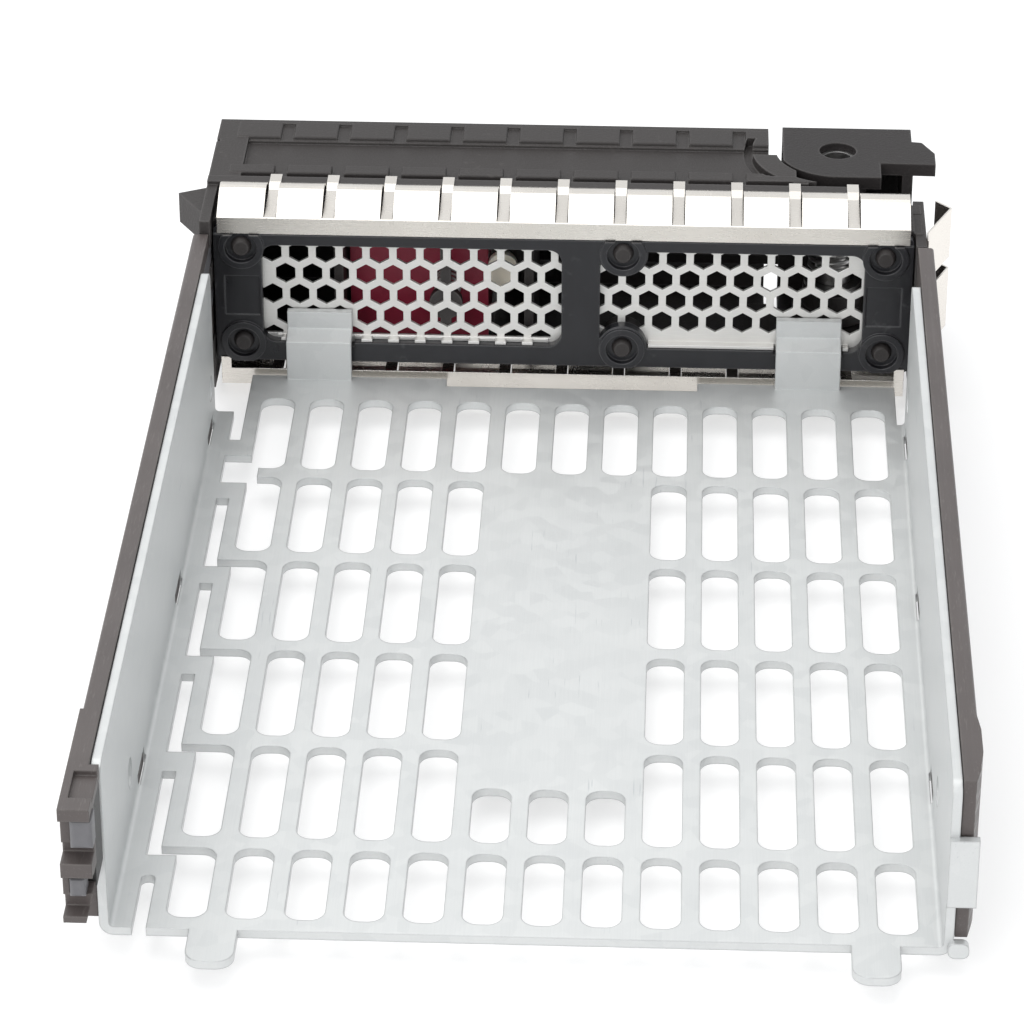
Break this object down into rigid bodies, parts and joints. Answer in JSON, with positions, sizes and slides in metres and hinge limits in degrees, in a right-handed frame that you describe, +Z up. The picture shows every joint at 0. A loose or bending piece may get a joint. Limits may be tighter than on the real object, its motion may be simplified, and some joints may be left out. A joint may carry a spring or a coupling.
{
  "type": "hot-swap drive carrier",
  "caption": "Hot-swap carrier for a 3.5 inch hard disk drive: slotted steel pan between plastic rails, hollow bezel with perforated screen, contact springs, ejector lever and release button.",
  "frame": {"origin": "centre of the carrier's outline, on the plane its lowest contact fingers touch", "axes": "+X to the right and +Y towards the bezel, seen from behind the carrier; +Z up, out of the open side of the pan"},
  "size_m": [0.1156, 0.188, 0.0325],
  "materials": {
    "galvanised_steel": "satin galvanised sheet",
    "rail_nylon": "moulded, fine texture",
    "bezel_plastic": "moulded, spark-eroded texture",
    "frame_plastic": "moulded, semi-gloss",
    "screen_steel": "perforated sheet, satin",
    "contact_steel": "bright stainless strip",
    "fascia_plastic": "moulded, fine texture",
    "lever_plastic": "moulded, fine texture",
    "pin_steel": "ground steel tube",
    "clip_steel": "dark spring steel",
    "spring_wire": "drawn wire",
    "button_plastic": "moulded, maroon",
    "plunger_acetal": "cream acetal",
    "light_pipe_clear": "clear, frosted ends",
    "clip_plastic": "moulded"
  },
  "bodies": {
    "tray": {"tray_pan": "galvanised_steel", "left_rail": "rail_nylon", "right_rail": "rail_nylon", "bezel_housing": "bezel_plastic", "rear_frame": "frame_plastic", "honeycomb_screen": "screen_steel", "emi_spring_top": "contact_steel", "emi_spring_bottom": "contact_steel", "emi_spring_right": "contact_steel", "front_fascia": "fascia_plastic", "lever_pivot_pin": "pin_steel", "pin_retaining_clip": "clip_steel", "lever_torsion_spring": "spring_wire", "plunger_spring": "spring_wire", "upper_light_pipe": "light_pipe_clear", "lower_light_pipe": "light_pipe_clear", "light_pipe_clip": "clip_plastic"},
    "lever": {"ejector_lever": "lever_plastic"},
    "button": {"release_button": "button_plastic", "button_spring": "spring_wire"},
    "plunger": {"kick_plunger": "plunger_acetal"}
  },
  "joints": [
    {"name": "lever_swing", "type": "hinge", "parent": "tray", "child": "lever", "pos_m": [0.04105, 0.0842, 0.01625], "axis": [0, 0, -1], "range_deg": [0, 50]},
    {"name": "button_press", "type": "slide", "parent": "tray", "child": "button", "axis": [0, -1, 0], "range_m": [0, 0.0025], "stiffness_N_per_m": 400},
    {"name": "plunger_push", "type": "slide", "parent": "tray", "child": "plunger", "axis": [0, 1, 0], "range_m": [0, 0.004]}
  ],
  "couplings": [
    {"joint": "plunger_push", "follows": "lever_swing", "m_per_rad": 0.00458}
  ]
}
